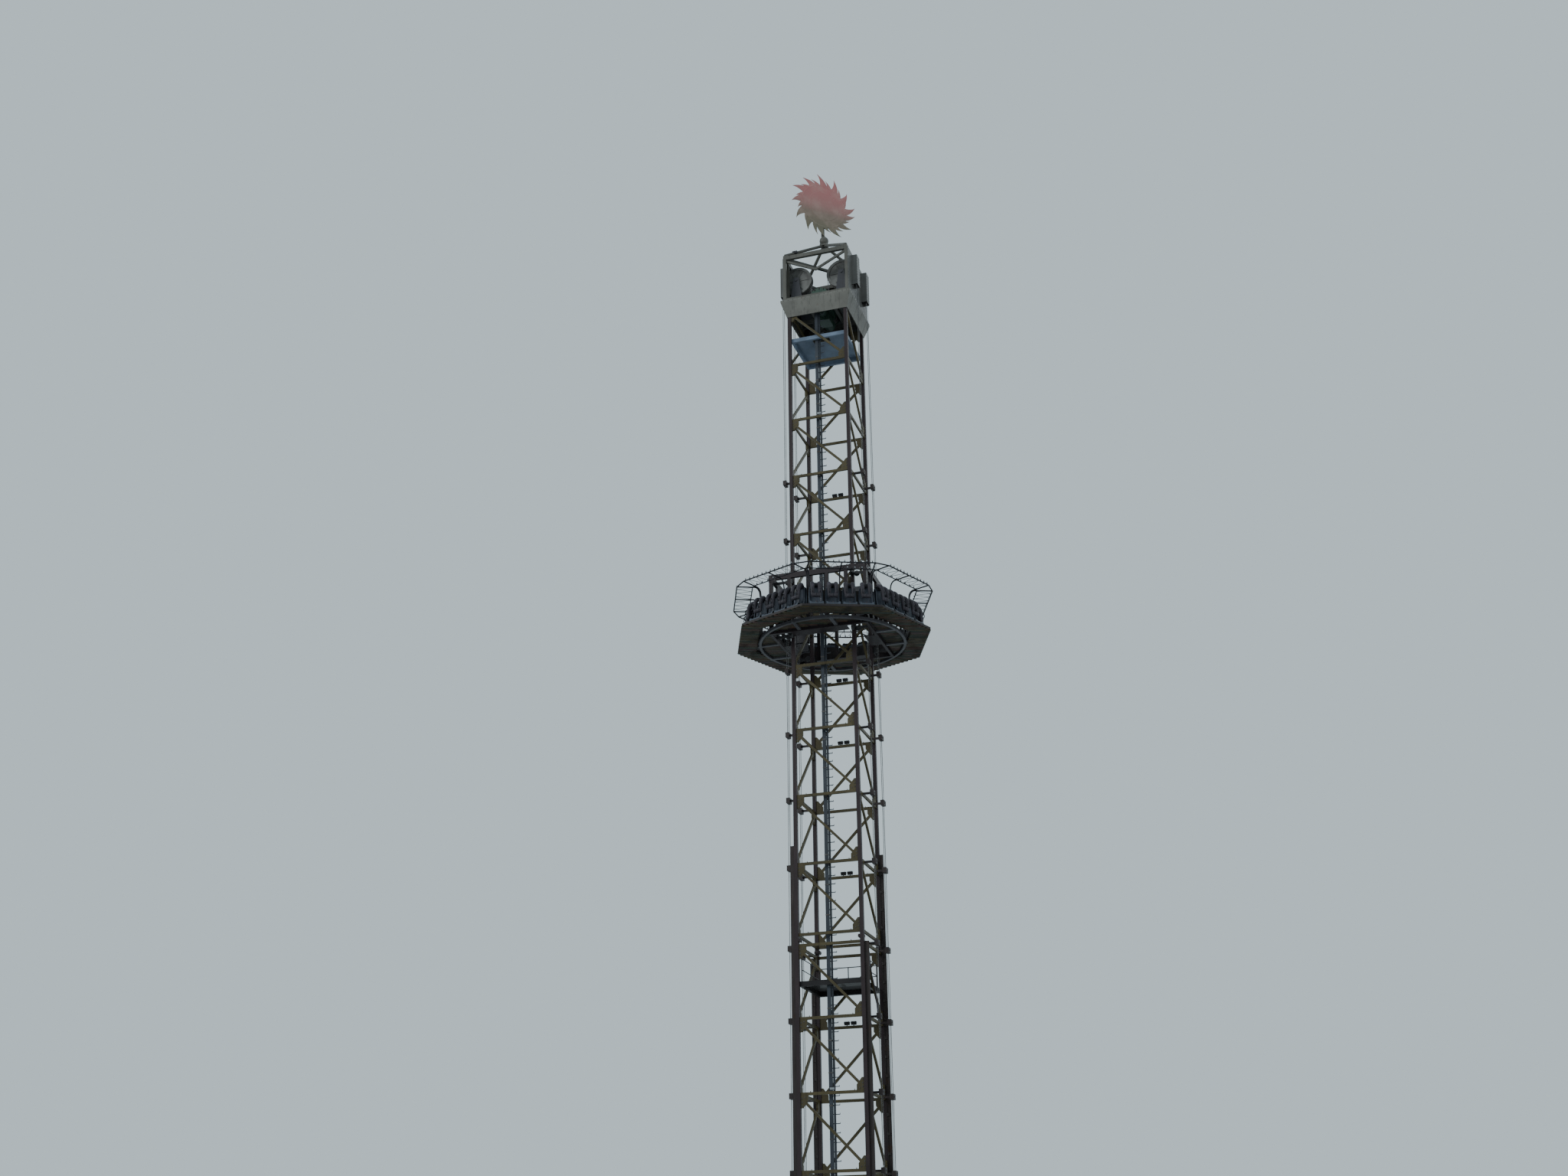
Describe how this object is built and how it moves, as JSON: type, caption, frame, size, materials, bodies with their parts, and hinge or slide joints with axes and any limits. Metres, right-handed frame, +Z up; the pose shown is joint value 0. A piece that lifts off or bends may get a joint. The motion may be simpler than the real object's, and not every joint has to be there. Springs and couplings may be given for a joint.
{
  "type": "drop tower ride, scale model 1:2",
  "caption": "Tall square lattice tower with a lifting carriage, a turning eight-sided ring of seats, a winch head and a sun finial.",
  "frame": {"origin": "middle of the foot plate, on the ground", "axes": "+Z up along the tower, -Y out of the front face with the ladder behind it"},
  "size_m": [3.6412, 3.6412, 21.7461],
  "materials": {
    "base_paint": "matt paint",
    "column_paint": "satin deep red paint",
    "fin_metal": "brushed dark fins",
    "bracing_paint": "satin mustard paint",
    "ladder_steel": "matt blue grey paint",
    "floor_blue": "matt dark blue paint",
    "rail_paint": "satin dark paint",
    "lamp_housing": "matt dark housing",
    "guide_paint": "satin brown paint",
    "rope_steel": "stranded steel",
    "head_paint": "satin olive yellow paint",
    "skirt_paint": "satin yellow paint",
    "panel_paint": "satin olive yellow paint",
    "winch_green": "gloss machine green",
    "machine_grey": "satin grey paint",
    "sun_paint": "gloss red orange paint",
    "sheave_iron": "painted cast iron, polished grooves",
    "carriage_paint": "satin near black paint",
    "roller_grey": "moulded roller tread",
    "ring_paint": "satin dark paint",
    "under_paint": "satin olive paint",
    "seat_shell": "moulded teal grey shell",
    "restraint_black": "moulded foam over tube",
    "rail_black": "satin near black paint"
  },
  "bodies": {
    "tower": {"base_frame": "base_paint", "column_front_left": "column_paint", "column_front_right": "column_paint", "column_back_right": "column_paint", "column_back_left": "column_paint", "brake_fin_front_left": "fin_metal", "brake_fin_front_right": "fin_metal", "brake_fin_back_right": "fin_metal", "brake_fin_back_left": "fin_metal", "bracing_front": "bracing_paint", "bracing_right": "bracing_paint", "bracing_back": "bracing_paint", "bracing_left": "bracing_paint", "ladder": "ladder_steel", "cable_duct": "ladder_steel", "landing_floor": "floor_blue", "landing_rails": "rail_paint", "floodlights": "lamp_housing", "rope_guides": "guide_paint", "hoist_ropes": "rope_steel", "drum_ropes": "rope_steel", "crown_frame": "head_paint", "crown_braces": "head_paint", "crown_legs": "head_paint", "crown_skirt": "skirt_paint", "crown_panels": "panel_paint", "sheave_guards": "panel_paint", "head_floor": "floor_blue", "winch": "winch_green", "sheave_mounts": "machine_grey", "finial_mast": "head_paint", "sun": "sun_paint"},
    "carriage": {"carriage_front": "carriage_paint", "carriage_right": "carriage_paint", "carriage_back": "carriage_paint", "carriage_left": "carriage_paint", "guide_rollers": "roller_grey", "brake_magnets": "machine_grey", "slew_track": "machine_grey", "carriage_floor": "carriage_paint"},
    "seat_ring": {"ring_frame": "ring_paint", "under_panels": "under_paint", "back_walls": "ring_paint", "seats_1": "seat_shell", "seats_2": "seat_shell", "seats_3": "seat_shell", "seats_4": "seat_shell", "seats_5": "seat_shell", "seats_6": "seat_shell", "seats_7": "seat_shell", "seats_8": "seat_shell", "restraints": "restraint_black", "canopy_rail": "rail_black", "canopy_legs": "rail_black"},
    "front_left_sheave": {"sheave_front_left": "sheave_iron"},
    "front_right_sheave": {"sheave_front_right": "sheave_iron"},
    "back_right_sheave": {"sheave_back_right": "sheave_iron"},
    "back_left_sheave": {"sheave_back_left": "sheave_iron"}
  },
  "joints": [
    {"name": "gondola_lift", "type": "slide", "parent": "tower", "child": "carriage", "axis": [0, 0, 1], "range_m": [-11.4, 5.2]},
    {"name": "ring_turn", "type": "hinge", "parent": "carriage", "child": "seat_ring", "pos_m": [0, 0, 12], "axis": [0, 0, 1], "continuous": true},
    {"name": "front_left_sheave_turn", "type": "hinge", "parent": "tower", "child": "front_left_sheave", "pos_m": [-0.45, -0.33, 19.11], "axis": [0, 1, 0], "continuous": true},
    {"name": "front_right_sheave_turn", "type": "hinge", "parent": "tower", "child": "front_right_sheave", "pos_m": [0.45, -0.33, 19.11], "axis": [0, 1, 0], "continuous": true},
    {"name": "back_right_sheave_turn", "type": "hinge", "parent": "tower", "child": "back_right_sheave", "pos_m": [0.45, 0.33, 19.11], "axis": [0, 1, 0], "continuous": true},
    {"name": "back_left_sheave_turn", "type": "hinge", "parent": "tower", "child": "back_left_sheave", "pos_m": [-0.45, 0.33, 19.11], "axis": [0, 1, 0], "continuous": true}
  ]
}
